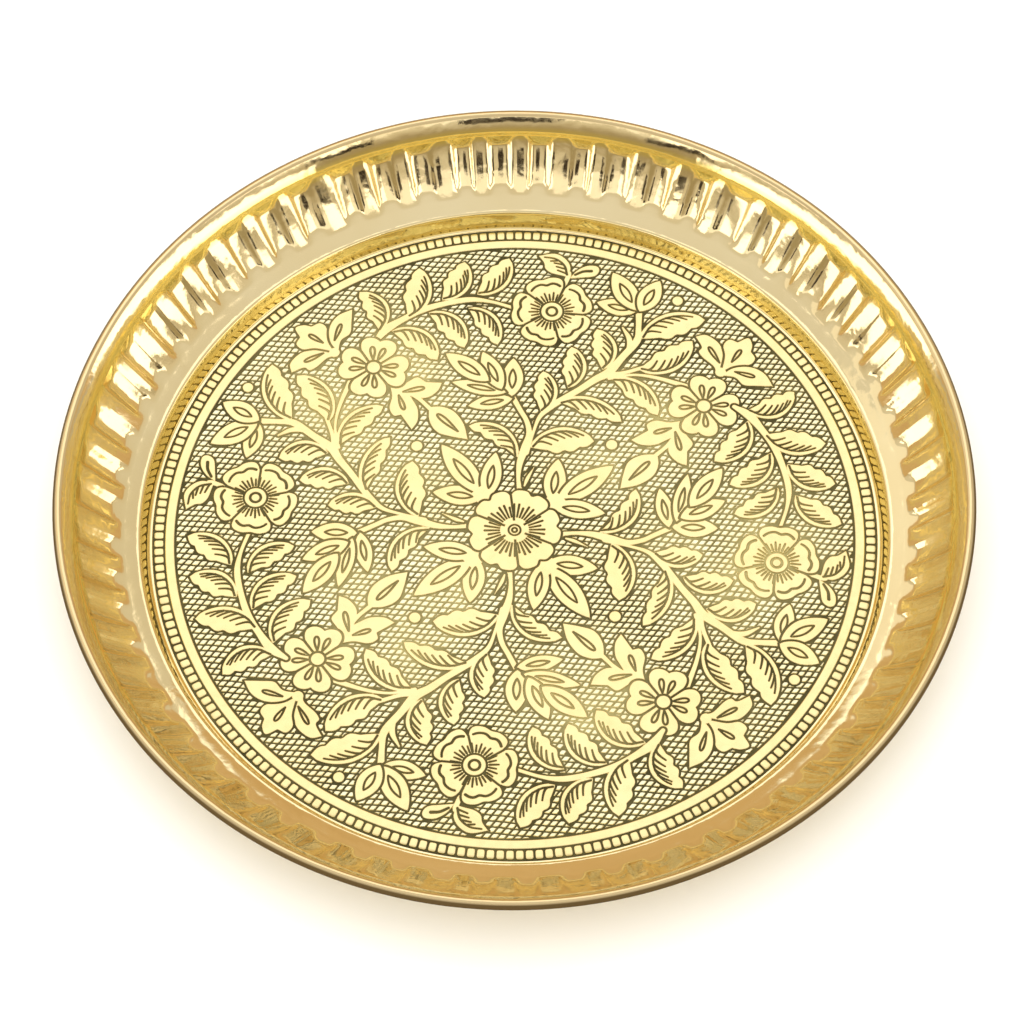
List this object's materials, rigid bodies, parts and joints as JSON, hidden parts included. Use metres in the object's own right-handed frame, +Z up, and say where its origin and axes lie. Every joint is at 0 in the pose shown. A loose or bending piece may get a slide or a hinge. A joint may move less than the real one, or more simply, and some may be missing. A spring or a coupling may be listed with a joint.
{
  "type": "round tray",
  "caption": "Round shallow brass tray with an embossed floral floor, a fluted sloping wall and a rolled, wired rim; rests flat and carries small offerings or food.",
  "frame": {"origin": "centre of the flat underside that the tray stands on", "axes": "+Z up out of the dish, along the axis that the tray is round about; +X to the right and +Y away as the tray is usually seen"},
  "size_m": [0.254, 0.254, 0.0272],
  "materials": {
    "polished_brass": "polished, with dark patina in the stamped grooves",
    "drawn_brass": "drawn, unpolished"
  },
  "bodies": {
    "root": {"pan": "polished_brass", "rim_wire": "drawn_brass"}
  },
  "joints": []
}
